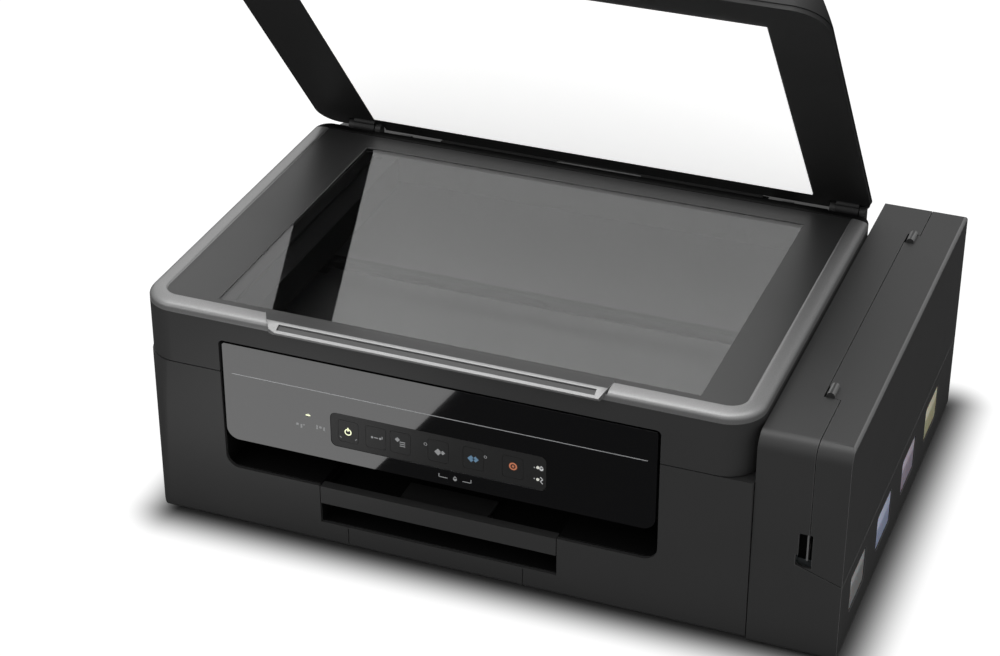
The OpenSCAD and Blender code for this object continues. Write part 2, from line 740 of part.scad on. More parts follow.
module panel_board() color("#1f5a36") place() {
    block([keys_x - 24, carrier_d - 1.6, keys_z - 14], [keys_x + keys_w + 4, carrier_d, keys_z + 14]);
    for (x = button_x)
        block([keys_x + x - 3, carrier_d - 1.9, keys_z - 3], [keys_x + x + 3, carrier_d - 1.6, keys_z + 3]);
}

// ---------------------------------------------------------------- scanner unit

// Outline of the scanner unit in plan, drawn in by an inset
module scanner_plan(inset) rounded([inset, inset], [body_w - inset, scanner_d - inset],
    [scanner_r - inset, scanner_r - inset, scanner_r / 2 - inset / 3, scanner_r / 2 - inset / 3]);

module scanner_housing() color("#2f2f31") place() difference() {
    union() {
        difference() {
            translate([0, 0, seam_z]) linear_extrude(rim_z - rim_t - seam_z) scanner_plan(0);
            difference() {
                translate([0, 0, seam_z + wall]) linear_extrude(scanner_h) scanner_plan(wall);
                // Wall that goes round behind the control panel
                block([exit_x - 4, 0, seam_z],
                    [exit_x + exit_w + 4, carrier_d + 1 + wall, opening_top + wall]);
            }
        }
        lift_lugs();
        cover_lugs();
        // Eye of the stay, hanging from the floor at the right
        block([stay_x() - 2.4, stay_y() - 5, stay_z() - 4], [stay_x() - touch, stay_y() + 5, seam_z + 1]);
        rod_x(stay_x() - 1, stay_x() + stay_t() + 1, stay_y(), stay_z(), 2);
    }
    along_y(-overrun, carrier_d + 1)
        rounded([exit_x, seam_z - overrun], [exit_x + exit_w, opening_top], [0, 0, 3, 3]);
}

// Lugs that turn in the rear deck's ears on pins of their own
module lift_lugs() for (x = ear_places()) {
    s = x < body_w / 2 ? 1 : -1;
    inner = x < body_w / 2 ? x + ear_t + touch : x - touch - 6;
    along_x(inner, inner + 6) {
        translate([lift_y, lift_z]) circle(4.6);
        translate([scanner_d - overrun, lift_z - 4.6]) square([lift_y - scanner_d + overrun, 9.2]);
    }
    rod_x(min(x + 1, inner + 3), max(x + ear_t - 1, inner + 3), lift_y, lift_z, hinge_pin_r);
}

// Two lugs at each cover arm with the pin between them
module cover_lugs() for (x = arm_places()) {
    for (u = [x - touch - 4, x + arm_w + touch]) along_x(u, u + 4) {
        translate([cover_hinge_y, cover_hinge_z]) circle(4);
        translate([scanner_d - wall, cover_hinge_z - 10]) square([wall + 6, 10]);
    }
    rod_x(x - 1, x + arm_w + 1, cover_hinge_y, cover_hinge_z, hinge_pin_r);
}

function arm_places() = [arm_x, body_w - arm_right - arm_w];
function stay_t() = 3.4;
function stay_x() = body_w - wall - 5.4;
function stay_y() = 70;
function stay_z() = seam_z - 7;

// Prop that swings down as the scanner unit is lifted
module scanner_stay() color("#3b3b3e") place() difference() {
    union() {
        rod_x(stay_x(), stay_x() + stay_t(), stay_y(), stay_z(), 4);
        block([stay_x(), stay_y(), stay_z() - 3.4],
            [stay_x() + stay_t(), stay_y() + stay_len, stay_z() + 3.4]);
        rod_x(stay_x(), stay_x() + stay_t(), stay_y() + stay_len, stay_z(), 3.4);
    }
    rod_x(stay_x() - overrun, stay_x() + stay_t() + overrun, stay_y(), stay_z(), 2 + run_gap);
}

// Top frame round the glass with the sloping rim along its outer edge
module scanner_bezel() color("#5d5f62") place() difference() {
    hull() {
        translate([0, 0, rim_z - rim_t]) linear_extrude(rim_t) scanner_plan(0);
        translate([0, 0, crest_z - 0.1]) linear_extrude(0.1) scanner_plan(rim_w);
    }
    translate([0, 0, bezel_z]) linear_extrude(rim_rise + overrun) scanner_plan(rim_w + 1);
    block([glass_x, glass_y, 0], [glass_x + glass_w, glass_y + glass_d, crest_z + overrun]);
    block(glass_lo() - [0.2, 0.2, 4 * glass_t], glass_hi() + [0.2, 0.2, 0]);
    // Notches behind which the cover's hinge arms stand
    for (x = arm_places())
        block([x - 5, scanner_d - 5, 0], [x + arm_w + 5, scanner_d + overrun, crest_z + overrun]);
    // Seat of the front grip
    translate([0, 0, rim_z - 0.8]) linear_extrude(rim_rise + 2) grip_plan(0.2);
}

function glass_lo() = [glass_x - glass_lap, glass_y - glass_lap, glass_top - glass_t];
function glass_hi() = [glass_x + glass_w + glass_lap, glass_y + glass_d + glass_lap, glass_top];

module scanner_glass() color([0.55, 0.58, 0.6, 0.45]) place() block(glass_lo(), glass_hi());

// Outline of the front grip in plan: it widens towards the glass
module grip_plan(grow) polygon([
    [grip_x + 5 - grow, -grip_out - grow], [grip_x + grip_w - 5 + grow, -grip_out - grow],
    [grip_x + grip_w - 2 + grow, grip_mid], [grip_x + grip_w - 1 + grow, grip_back + grow],
    [grip_x - 9 - grow, grip_back + grow], [grip_x - 4 - grow, grip_mid],
    [grip_x - grow, -grip_out + 2 - grow]]);

// Lip let into the front of the rim, by which the scanner unit is lifted; a groove runs along its slope
module front_grip() color("#6b6d70") place() intersection() {
    translate([0, 0, seam_z]) linear_extrude(scanner_h + 6) grip_plan(0);
    difference() {
        along_x(grip_x - 10, grip_x + grip_w) polygon([
            [-grip_out, rim_z - 2.2], [-grip_out + 0.8, rim_z - 3.2], [-touch, rim_z - 3.2],
            [-touch, rim_z - 0.6], [grip_back, rim_z - 0.6], [grip_back, grip_top],
            [grip_mid, grip_top], [-grip_out, rim_z - 1.3]]);
        along_x(grip_x + 5, grip_x + grip_w - 8) polygon([
            [-grip_out + 0.8, rim_z + 0.6], [grip_mid - 2, grip_top + 1],
            [grip_mid - 1.8, grip_top - 1.7], [-grip_out + 2.6, rim_z - 1.1]]);
    }
}

// Round rail and toothed drive rack of the scan head
module scan_rail() color("#b9bcc0") place() {
    rod_x(wall, body_w - wall, rail_y, rail_z, rail_r);
    block([wall + 6, rail_y + 14, seam_z + wall], [body_w - wall - 6, rail_y + 20, seam_z + wall + 2]);
}

// Scan head: a long light bar on a sled that rides the rail
module scan_head() color("#202022") place() difference() {
    union() {
        block([glass_x, glass_y + 2, rail_z + 5],
            [glass_x + head_w, glass_y + glass_d - 2, glass_top - glass_t - 1]);
        block([glass_x + 2, rail_y - 6, rail_z - 5], [glass_x + head_w - 2, rail_y + 6, rail_z + 5]);
    }
    rod_x(glass_x, glass_x + head_w, rail_y, rail_z, rail_r + run_gap);
    block([glass_x + 8, glass_y + 6, glass_top - glass_t - 3],
        [glass_x + 14, glass_y + glass_d - 6, glass_top]);
}

// ---------------------------------------------------------------- document cover

// Frame of the closed cover, turned open about its hinge: y forward is negative, z up from the hinge
module on_cover() place() translate([0, cover_hinge_y, cover_hinge_z]) rotate([-cover_open, 0, 0]) children();

module cover_plan(inset) rounded([-cover_out + inset, -cover_len + inset],
    [body_w - cover_back - inset, cover_tail - inset],
    [scanner_r - inset, scanner_r - inset, cover_r - inset, cover_r - inset]);

// The cover's outer form, drawn in by an inset for its hollow: its sides lean in towards the top
module cover_form(inset, z0) intersection() {
    top = cover_under + cover_t - inset;
    x0 = -cover_out + inset;
    x1 = body_w - cover_back - inset;
    y0 = -cover_len + inset;
    y1 = cover_tail - inset;
    translate([0, 0, z0]) linear_extrude(top - z0) cover_plan(inset);
    along_y(-cover_len - overrun, cover_tail + overrun) polygon([
        [x0, 0], [x1, 0], [x1, cover_under + 3], [x1 - cover_lean, top],
        [x0 + cover_lean, top], [x0, cover_under + 3]]);
    along_x(-overrun - cover_out, body_w + overrun) polygon([
        [y0, 0], [y1, 0], [y1, top - 2], [y1 - 3, top], [y0 + 6, top], [y0, top - 3]]);
}

// Outer shell: a shallow pan that opens downwards
module cover_shell() color("#262628") on_cover() difference() {
    cover_form(0, cover_under + 3);
    cover_form(wall, cover_under - overrun);
}

// Inner frame that closes the shell from below, holds the pad and carries the hinge arms
module cover_frame() color("#171718") on_cover() difference() {
    union() {
        difference() {
            translate([0, 0, cover_under]) linear_extrude(2.9) cover_plan(0.6);
            translate([pad_x() - touch, -pad_back - pad_d - touch, pad_face - 0.1])
                cube([pad_w + 2 * touch, pad_d + 2 * touch, pad_t + 0.1]);
        }
        translate([0, 0, cover_under + 2.8]) linear_extrude(3) difference() {
            cover_plan(wall + 3.2);
            cover_plan(wall + 5.2);
        }
        translate([pad_x() - 2, -pad_back - pad_d - 2, pad_face + pad_t])
            cube([pad_w + 4, pad_d + 4, 2]);
        // Lip at the front edge that the fingers lift
        block([body_w / 2 - 40, -cover_len - 2.4, cover_under + 0.4],
            [body_w / 2 + 40, -cover_len + 2, cover_under + 2.8]);
        for (x = arm_places()) along_x(x, x + arm_w) {
            circle(5);
            translate([-6.5, 0]) square([9.5, cover_under + 2]);
        }
    }
    for (x = arm_places()) {
        rod_x(x - overrun, x + arm_w + overrun, 0, 0, hinge_pin_r + run_gap);
        // Notches beside the arm for the scanner unit's lugs
        for (u = [x - 5, x + arm_w]) block([u, -5, 0], [u + 5, cover_tail + overrun, cover_under + 3.2]);
    }
}

function pad_x() = 42;

// White pad that presses the paper on the glass
module document_pad() color("#f1f1ef") on_cover()
    block([pad_x(), -pad_back - pad_d, pad_face], [pad_x() + pad_w, -pad_back, pad_face + pad_t]);

// ---------------------------------------------------------------- ink tank unit

// Outer form of the unit, drawn in by an inset for its hollow
module tank_form(inset, z0) intersection() {
    along_x(tank_x + inset, tank_right - inset)
        rounded([tank_front + inset, z0], [tank_rear - inset, tank_z - inset],
            [2, 2, tank_r - inset, max(tank_rear_r - inset, 0.4)]);
    along_y(tank_front, tank_rear)
        rounded([tank_x + inset, z0], [tank_right - inset, tank_z - inset], [0, 2, 0, 2.5]);
}

// Where the cover is: its front outline, swept through the unit, with the tab between the hinges
module cover_zone(gap) {
    along_y(tank_front - overrun, tank_rear + overrun) polygon([
        [tank_seam_x + gap, tank_z + 3], [tank_seam_x + gap, seam_low() + 7 - gap],
        [tank_seam_x - 7.4 + gap, seam_low() + 7 - gap], [tank_seam_x - 7.4 + gap, seam_low() + gap],
        [tank_right + overrun, side_seam_z + 3.5 + gap], [tank_right + overrun, tank_z + 3]]);
    block([rear_seam_x + gap, knuckle_places()[0] - 1 + gap, seam_low() + 20],
        [tank_right, tank_rear + overrun, tank_z + 3]);
    block([tank_tab_x + gap, tank_tab_y0() + gap, tank_z - tank_wall - overrun],
        [tank_right, tank_tab_y1() - gap, tank_z + 3]);
}

function seam_low() = side_seam_z + 13.5;
function tank_tab_y0() = tank_front + 65;
function tank_tab_y1() = tank_rear - 49;
function knuckle_places() = [tank_tab_y0() - 11.5, tank_tab_y1() - 0.5];

module tank_case() color("#2c2c2e") place() difference() {
    union() {
        difference() {
            tank_form(0, foot_h);
            tank_form(tank_wall, foot_h + tank_wall);
            cover_zone(0);
        }
        // Ribs under the top beside the cover's hinge knuckles
        for (y = [knuckle_places()[0] - 4.2, knuckle_places()[1] + 12.4])
            block([tank_x + tank_hinge_x - 5, y, tank_z - tank_wall - 1],
                [rear_seam_x - touch, y + 3, tank_z]);
    }
    for (y = [window_y : window_pitch : window_y + 3 * window_pitch])
        along_x(tank_right - tank_wall - overrun, tank_right + overrun)
            rounded([y, window_z], [y + window_len, window_z + window_h], [3, 3, 3, 3]);
    for (y = knuckle_places())
        block([tank_x + tank_hinge_x - 4, y - touch, tank_z - 4], [tank_seam_x + 1, y + 12.3, tank_z + 1]);
    block([tank_x - overrun, tube_y() - 9, tube_z() - 4],
        [tank_x + tank_wall + overrun, tube_y() + 9, tube_z() + 4]);
    // Finger slot beside the cover's latch
    block([tank_seam_x - 6, -overrun, seam_low() + 1], [tank_seam_x, tank_front + 9, seam_low() + 22]);
}

module tank_cover() color("#333335") place() difference() {
    union() {
        intersection() {
            difference() {
                tank_form(0, foot_h);
                tank_form(tank_wall, foot_h - overrun);
            }
            cover_zone(0.5);
        }
        for (y = knuckle_places()) {
            rod_along_y(y, y + 12, tank_x + tank_hinge_x, tank_axis_z, knuckle_r);
            block([tank_x + tank_hinge_x, y, tank_z - tank_wall], [tank_seam_x + 2, y + 12, tank_z]);
        }
    }
    // Room for the fingers at the front corner, beside the latch
    block([tank_seam_x - 8, -overrun, seam_low() - 1], [tank_seam_x + 2.2, tank_front + 8, seam_low() + 22]);
}

// Four ink tanks side by side along the unit, each with a filler neck
module ink_tanks() color("#b9c0c4") place() for (i = [0 : 3]) difference() {
    y = ink_y(i);
    union() {
        block([tank_x + 5, y, foot_h + tank_wall + 0.8],
            [tank_right - tank_wall - 0.8, y + window_pitch - 6, ink_h]);
        translate([tank_mid(), y + window_pitch / 2 - 3, ink_h]) cylinder(h = 8, r = 7);
    }
    translate([tank_mid(), y + window_pitch / 2 - 3, ink_h - 6]) cylinder(h = 15, r = 4);
}

function ink_y(i) = window_y - 12 + i * window_pitch;
function tank_mid() = tank_x + tank_w / 2;

// Cap with a plug that stands in the tank's neck
module tank_cap(i, tint) color(tint) place()
    translate([tank_mid(), ink_y(i) + window_pitch / 2 - 3, ink_h + 8 + touch]) {
    cylinder(h = 6, r = 8.5);
    translate([0, 0, -7]) cylinder(h = 8, r = 3.6);
}

module tank_cap_1() tank_cap(0, "#2b2b2d");
module tank_cap_2() tank_cap(1, "#2f8fc0");
module tank_cap_3() tank_cap(2, "#c0417f");
module tank_cap_4() tank_cap(3, "#d9b82c");

lower_case();
feet();
case_screws();
tray_housing();
rear_deck();
ac_inlet();
usb_port();
main_board();
power_supply();
chassis_frame();
guide_rod();
platen();
capping_station();
drive_motors();
carriage_belt();
feed_belt();
ink_tubes();
print_carriage();
print_head();
motor_pulley();
idler_pulley();
feed_roller();
eject_roller();
feed_pulley();
pickup_roller();
star_wheels();
output_tray();
tray_extension();
tray_stopper();
paper_support();
support_extension();
edge_guide();
panel_housing();
gloss_panel();
button_strip();
panel_board();
indicator_lights();
button_power();
button_wireless();
button_status();
button_mono();
button_colour();
button_stop();
scanner_housing();
scanner_bezel();
scanner_glass();
front_grip();
scan_rail();
scan_head();
scanner_stay();
cover_shell();
cover_frame();
document_pad();
tank_case();
tank_cover();
ink_tanks();
tank_cap_1();
tank_cap_2();
tank_cap_3();
tank_cap_4();
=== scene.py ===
# %% [markdown]
# # A desk inkjet printer, finished in Blender
# The printer's mechanics come from its CAD model: every body, hinge and slide is already in place.
# This lesson gives that model its looks: rounded edges on the moulded shells, a rolled rim round the
# scanner, tinted ink tanks, keys with their symbols, and a procedural material for every surface.

# %% Load the frame
import bpy
import json
import math
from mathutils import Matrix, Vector


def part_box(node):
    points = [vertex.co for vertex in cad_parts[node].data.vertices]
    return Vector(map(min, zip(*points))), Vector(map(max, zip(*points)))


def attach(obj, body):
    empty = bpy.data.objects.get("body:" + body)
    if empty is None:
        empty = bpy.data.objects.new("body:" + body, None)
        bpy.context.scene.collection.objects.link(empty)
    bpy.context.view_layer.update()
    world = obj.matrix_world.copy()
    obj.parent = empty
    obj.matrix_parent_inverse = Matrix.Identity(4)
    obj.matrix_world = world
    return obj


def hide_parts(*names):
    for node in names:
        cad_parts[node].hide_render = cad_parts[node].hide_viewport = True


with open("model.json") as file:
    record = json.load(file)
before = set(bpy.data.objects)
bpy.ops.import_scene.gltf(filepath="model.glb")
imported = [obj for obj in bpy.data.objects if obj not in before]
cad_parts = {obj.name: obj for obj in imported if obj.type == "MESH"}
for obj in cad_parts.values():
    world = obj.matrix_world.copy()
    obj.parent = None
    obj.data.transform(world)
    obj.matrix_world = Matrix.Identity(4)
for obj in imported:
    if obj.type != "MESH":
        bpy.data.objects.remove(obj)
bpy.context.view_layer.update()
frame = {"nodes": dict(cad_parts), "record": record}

# %% [markdown]
# ## A ruler on the printer
# All sizes below are read off the machine in millimetres, from the left end of its front face, from
# the front face backwards, and up from the desk. The lower case gives the place of that corner, so a
# small function turns such a reading into a point in the scene.

# %% Millimetres on the printer to metres in the scene
bpy.ops.object.select_all(action="DESELECT")
scene = bpy.context.scene
MM = 0.001
corner, far_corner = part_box("lower_case")


def at(x, y, z):
    return Vector((corner.x + x * MM, corner.y + y * MM, z * MM))


BODY_W = (far_corner.x - corner.x) / MM
RIM_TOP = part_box("scanner_bezel")[1].z / MM
print("body", round(BODY_W, 1), "mm wide, rim at", round(RIM_TOP, 1), "mm")

# %% [markdown]
# ## Camera
# A product shot is taken with a long lens from above the right front corner. A long lens keeps the
# upright edges nearly parallel, so the printer keeps its true proportions.

# %% Place the camera
camera_data = bpy.data.cameras.new("camera")
camera = bpy.data.objects.new("camera", camera_data)
scene.collection.objects.link(camera)
camera_data.lens = 88.71
camera_data.sensor_width = 36
camera.location = corner + Vector((0.67458, -1.12752, 0.89583 - corner.z))
camera.rotation_euler = (math.radians(90 - 30.51), 0, math.radians(21.24))
scene.camera = camera
scene.view_settings.view_transform = "Standard"
print("camera at", [round(v, 3) for v in camera.location])

# %% [markdown]
# ## Colours and shader nodes
# Colours are picked as the hex values that a screen shows. Shaders count in linear light, so one
# function turns one into the other. A second small function adds a shader node with its settings and
# its links, which keeps each material short enough to read at a glance.


# %% Colour and node helpers
def linear(hex_code):
    parts = [int(hex_code[i : i + 2], 16) / 255 for i in (1, 3, 5)]
    return [v / 12.92 if v <= 0.04045 else ((v + 0.055) / 1.055) ** 2.4 for v in parts] + [1.0]


def add(tree, kind, inputs=None, **settings):
    made = tree.nodes.new(kind)
    for name, value in settings.items():
        setattr(made, name, value)
    for name, value in (inputs or {}).items():
        if isinstance(value, bpy.types.NodeSocket):
            tree.links.new(value, made.inputs[name])
        else:
            made.inputs[name].default_value = value
    return made


def start(name):
    material = bpy.data.materials.new(name)
    material.use_nodes = True
    tree = material.node_tree
    shader = tree.nodes["Principled BSDF"]
    place = tree.nodes.new("ShaderNodeTexCoord").outputs["Object"]
    return material, tree, shader, place


def per_mm(size):
    return 1000 / size


print("white is", linear("#ffffff")[:3])

# %% [markdown]
# ## Modelling helpers
# Most small parts start as a flat outline that is extruded: a rounded rectangle for plates and bars, a
# disc for dots and rings. They are drawn lying flat, raised, turned to face the front or the side, and
# moved into place. One helper picks vertices, edges or faces by where they are, and one joins pieces.


# %% Modelling helpers
FRONT = (math.radians(90), 0, 0)
RIGHT = (math.radians(90), 0, math.radians(90))
FLAT = (0, 0, 0)


def pick(piece, kind, test):
    bpy.ops.object.mode_set(mode="EDIT")
    bpy.ops.mesh.select_mode(type=kind)
    bpy.ops.mesh.select_all(action="DESELECT")
    bpy.ops.object.mode_set(mode="OBJECT")
    for part in {"VERT": piece.data.vertices, "EDGE": piece.data.edges, "FACE": piece.data.polygons}[kind]:
        part.select = test(part)
    bpy.ops.object.mode_set(mode="EDIT")


def place_piece(piece, name, middle, turn, spin=0.0):
    """Turns a flat piece to face its way, moves it to its place and leaves its origin at the scene's."""
    bpy.ops.mesh.select_all(action="SELECT")
    bpy.ops.mesh.normals_make_consistent(inside=False)
    bpy.ops.object.mode_set(mode="OBJECT")
    piece.name = name
    piece.rotation_euler = (0, 0, math.radians(spin))
    bpy.ops.object.transform_apply(location=False, rotation=True, scale=True)
    piece.rotation_euler = turn
    piece.location = at(*middle)
    bpy.ops.object.transform_apply(location=True, rotation=True, scale=True)
    return piece


def plate(name, middle, width, height, thick, radius, turn=FRONT, spin=0.0):
    bpy.ops.object.select_all(action="DESELECT")
    bpy.ops.mesh.primitive_plane_add(size=1)
    piece = bpy.context.object
    piece.scale = (width * MM, height * MM, 1)
    bpy.ops.object.transform_apply(location=False, rotation=False, scale=True)
    bpy.ops.object.mode_set(mode="EDIT")
    bpy.ops.mesh.select_all(action="SELECT")
    if radius:
        bpy.ops.mesh.bevel(offset=radius * MM, segments=4, affect="VERTICES")
        bpy.ops.mesh.select_all(action="SELECT")
    bpy.ops.mesh.extrude_region_move(TRANSFORM_OT_translate={"value": (0, 0, thick * MM)})
    return place_piece(piece, name, middle, turn, spin)


def ring(name, middle, radius, line, thick, turn=FRONT):
    """A disc, or with a line width an open ring, raised by its thickness."""
    bpy.ops.object.select_all(action="DESELECT")
    bpy.ops.mesh.primitive_circle_add(vertices=28, radius=radius * MM, fill_type="NGON")
    piece = bpy.context.object
    bpy.ops.object.mode_set(mode="EDIT")
    bpy.ops.mesh.select_mode(type="FACE")
    bpy.ops.mesh.select_all(action="SELECT")
    if line:
        bpy.ops.mesh.inset(thickness=line * MM)
        bpy.ops.mesh.delete(type="FACE")
        bpy.ops.mesh.select_all(action="SELECT")
    bpy.ops.mesh.extrude_region_move(TRANSFORM_OT_translate={"value": (0, 0, thick * MM)})
    return place_piece(piece, name, middle, turn)


def join(name, pieces):
    bpy.ops.object.select_all(action="DESELECT")
    for piece in pieces:
        piece.select_set(True)
    bpy.context.view_layer.objects.active = pieces[0]
    bpy.ops.object.join()
    pieces[0].name = name
    return pieces[0]


print("helpers ready")

# %% [markdown]
# ## Floor and light
# The printer stands on a white sweep in a tent of soft light. The floor must read as paper white, so it is
# lit evenly from all round and glows a little; the soft shadow where the case meets it is painted into
# that glow. What shines on the dark plastic is another matter: black plastic shows the lamps and hardly
# its own colour. The sky therefore looks bright from above and dark from below to mirror-like rays only,
# and large panels of light overhead draw the highlights on the rim and the panel.

# %% Floor
bpy.ops.mesh.primitive_plane_add(size=8)
floor = bpy.context.object
floor.name = "floor"
floor.visible_glossy = False
paper, tree, shader, place = start("white_sweep_with_painted_shadow")
shader.inputs["Base Color"].default_value = linear("#484848")
shader.inputs["Roughness"].default_value = 1.0
shader.inputs["Specular IOR Level"].default_value = 0.0
# The sweep glows evenly, and the glow fades near the printer's footprint into a painted contact shadow
# The painted shadow's footprint is a little smaller than the printer on its left, the side that the lamp
# lights
MIDDLE = at(229.5, 153.5, 0)
HALF = (214 * MM, 149 * MM, 0)
SHADOW_WIDTH = 38 * MM
from_middle = add(tree, "ShaderNodeVectorMath", {0: place, 1: (MIDDLE.x, MIDDLE.y, 0)}, operation="SUBTRACT")
folded = add(tree, "ShaderNodeVectorMath", {0: from_middle.outputs[0]}, operation="ABSOLUTE")
beyond = add(tree, "ShaderNodeVectorMath", {0: folded.outputs[0], 1: HALF}, operation="SUBTRACT")
outside = add(tree, "ShaderNodeVectorMath", {0: beyond.outputs[0], 1: (0, 0, 0)}, operation="MAXIMUM")
distance = add(tree, "ShaderNodeVectorMath", {0: outside.outputs[0]}, operation="LENGTH")
painted_shadow = add(tree, "ShaderNodeMapRange", {"Value": distance.outputs["Value"], "From Max": SHADOW_WIDTH,
                                              "To Max": 0.99}, interpolation_type="SMOOTHSTEP")
tree.links.new(painted_shadow.outputs["Result"], shader.inputs["Emission Strength"])
shader.inputs["Emission Color"].default_value = linear("#ffffff")
floor.data.materials.append(paper)

# %% Sky: even for matt surfaces, graded for glossy ones
world = bpy.data.worlds.new("light_tent")
scene.world = world
world.use_nodes = True
tree = world.node_tree
tree.nodes.clear()
direction = add(tree, "ShaderNodeTexCoord").outputs["Generated"]
height = add(tree, "ShaderNodeSeparateXYZ", {0: direction}).outputs["Z"]
graded = add(tree, "ShaderNodeMapRange", {"Value": height, "From Min": -0.05, "From Max": 0.9,
                                          "To Min": 0.03, "To Max": 0.75})
glossy = add(tree, "ShaderNodeLightPath").outputs["Is Glossy Ray"]
strength = add(tree, "ShaderNodeMix", {0: glossy, 2: 0.95, 3: graded.outputs["Result"]})
tent = add(tree, "ShaderNodeBackground", {"Color": (1, 1, 1, 1), "Strength": strength.outputs[0]})
add(tree, "ShaderNodeOutputWorld", {"Surface": tent.outputs[0]})


# %% Lamps
def soft_panel(name, place, target, width, depth, watts):
    data = bpy.data.lights.new(name, "AREA")
    data.shape = "RECTANGLE"
    data.size, data.size_y, data.energy = width, depth, watts
    lamp = bpy.data.objects.new(name, data)
    lamp.location = place
    lamp.rotation_euler = (Vector(target) - Vector(place)).to_track_quat("-Z", "Y").to_euler()
    scene.collection.objects.link(lamp)
    return lamp


soft_panel("overhead_panel", (-0.25, 0.35, 1.7), (0, 0, 0.1), 1.6, 1.0, 17)
soft_panel("front_left_panel", (-1.3, -1.3, 1.1), (0, 0, 0.1), 1.0, 1.0, 4)

# %% [markdown]
# A studio lays a white card on the table in front of a glossy panel, so that the panel shows one
# clean light shape with a slanting edge. The card here is seen by reflections only. It lies just off
# the floor to the front left, and its right edge runs at a slant.

# %% Card that the panel reflects
card = plate("panel_card", (27, -140, 2), 174, 124, 0.5, 0, FLAT)
pick(card, "VERT", lambda v: v.co.x > at(60, 0, 0).x and v.co.y < at(0, -145, 0).y)
bpy.ops.transform.translate(value=(14 * MM, 0, 0))
bpy.ops.object.mode_set(mode="OBJECT")
# A second card stands far behind to the left, where the glass and the ledge beside it look
back_card = plate("back_left_card", (-560, 900, 640), 620, 760, 0.5, 0)
card_white, tree, shader, place = start("lit_white_card")
shader.inputs["Base Color"].default_value = linear("#000000")
shader.inputs["Emission Color"].default_value = linear("#ffffff")
shader.inputs["Emission Strength"].default_value = 1.1
for piece in (card, back_card):
    piece.visible_camera = piece.visible_diffuse = piece.visible_shadow = piece.visible_transmission = False
    piece.data.materials.append(card_white)
print("cards", card.name, back_card.name)

# %% [markdown]
# ## Moulded plastics
# The shells are ABS, moulded against spark-eroded steel that leaves a fine, even grain. It could be
# painted as an image, but a noise texture has no seams and its scale can be given in millimetres.
# The real grain is about 0.1 mm, too fine to show at this distance, so it is drawn at 0.5 mm and
# shallow. A second, broad noise varies the gloss a little, as handling does.


# %% Grained plastic
GLOSS_CHANGE = 0.05


def grained_plastic(name, hex_code, roughness, grain=0.5, depth=0.03):
    material, tree, shader, place = start(name)
    fine = add(tree, "ShaderNodeTexNoise", {"Vector": place, "Scale": per_mm(grain), "Detail": 2.0})
    broad = add(tree, "ShaderNodeTexNoise", {"Vector": place, "Scale": per_mm(60), "Detail": 3.0})
    bump = add(tree, "ShaderNodeBump", {"Height": fine.outputs["Fac"], "Strength": 0.35,
                                        "Distance": depth * MM})
    rough = add(tree, "ShaderNodeMapRange", {"Value": broad.outputs["Fac"],
                                             "To Min": roughness - GLOSS_CHANGE,
                                             "To Max": roughness + GLOSS_CHANGE})
    dark = [v * 0.9 for v in linear(hex_code)[:3]] + [1]
    tint = add(tree, "ShaderNodeMix", {0: broad.outputs["Fac"], 6: dark, 7: linear(hex_code)},
               data_type="RGBA")
    tree.links.new(tint.outputs[2], shader.inputs["Base Color"])
    tree.links.new(rough.outputs["Result"], shader.inputs["Roughness"])
    tree.links.new(bump.outputs["Normal"], shader.inputs["Normal"])
    shader.inputs["IOR"].default_value = 1.5
    return material


# Charcoal ABS of the case: matt, with a soft grey sheen on faces that look up
case_abs = grained_plastic("charcoal_abs_grained", "#2c2c2c", 0.46)
# The same ABS, lighter, as a painted highlight along the tank unit's edges and on the latch rib
edge_abs_painted_highlight = grained_plastic("charcoal_abs_painted_edge_highlight", "#5e5e5e", 0.35)
# The scanner's top frame, satin
bezel_abs = grained_plastic("grey_abs_satin", "#2a2a2a", 0.4, grain=0.6, depth=0.02)
# Inner frame of the document cover, smooth and near black
cover_abs = grained_plastic("black_abs_cover", "#191919", 0.5)
# Plain black polystyrene of hidden and recessed parts, also painted shade in the tray's mouth, under the
# cover, in the latch pocket and on the scan rail
black_ps_and_painted_shade = grained_plastic("black_polystyrene_and_painted_shade", "#0c0c0c", 0.6)
black_ps_and_painted_shade.node_tree.nodes["Principled BSDF"].inputs["Specular IOR Level"].default_value = 0.15
# Tray and paper support: dark grey, a little more open in its grain
tray_abs = grained_plastic("dark_grey_abs_tray", "#232323", 0.45, grain=0.7)
# Satin plastic of the button strip and the keys on it
key_abs = grained_plastic("grey_key_plastic", "#1f1f1f", 0.42, grain=0.4, depth=0.01)
# Soft white nylon of gears and light guides
white_nylon = grained_plastic("white_nylon", "#d8d8cf", 0.4)
print("plastics", len([m for m in bpy.data.materials if "abs" in m.name or "poly" in m.name]))

# %% [markdown]
# The rolled rim and its grip are sprayed with a silver-grey paint: fine metal flakes in clear lacquer.
# Flakes shine like metal, so the rim is bright where it faces the lamps and dark where it looks at the
# room. The flakes are about 0.3 mm apart here, and each tilts the shine by a little.

# %% Silver paint
rim_abs, tree, shader, place = start("silver_grey_flake_paint")
flakes = add(tree, "ShaderNodeTexVoronoi", {"Vector": place, "Scale": per_mm(0.35)})
flake_tint = add(tree, "ShaderNodeMix", {0: flakes.outputs["Distance"], 6: linear("#7f7f7f"),
                                         7: linear("#929292")}, data_type="RGBA")
tilt = add(tree, "ShaderNodeBump", {"Height": flakes.outputs["Distance"], "Strength": 0.2,
                                    "Distance": 0.02 * MM})
tree.links.new(flake_tint.outputs[2], shader.inputs["Base Color"])
tree.links.new(tilt.outputs["Normal"], shader.inputs["Normal"])
shader.inputs["Metallic"].default_value = 0.75
shader.inputs["Roughness"].default_value = 0.46
shader.inputs["Coat Weight"].default_value = 0.3
shader.inputs["Coat Roughness"].default_value = 0.2

# %% [markdown]
# ## Gloss panel, glass and pad
# The control panel is acrylic backed with black, polished like a piano: nearly all that it shows is a
# reflection. The bed is 3 mm float glass, nearly colourless. The pad under the cover is white
# polyester film on foam; the foam's cells show through as very shallow waves.

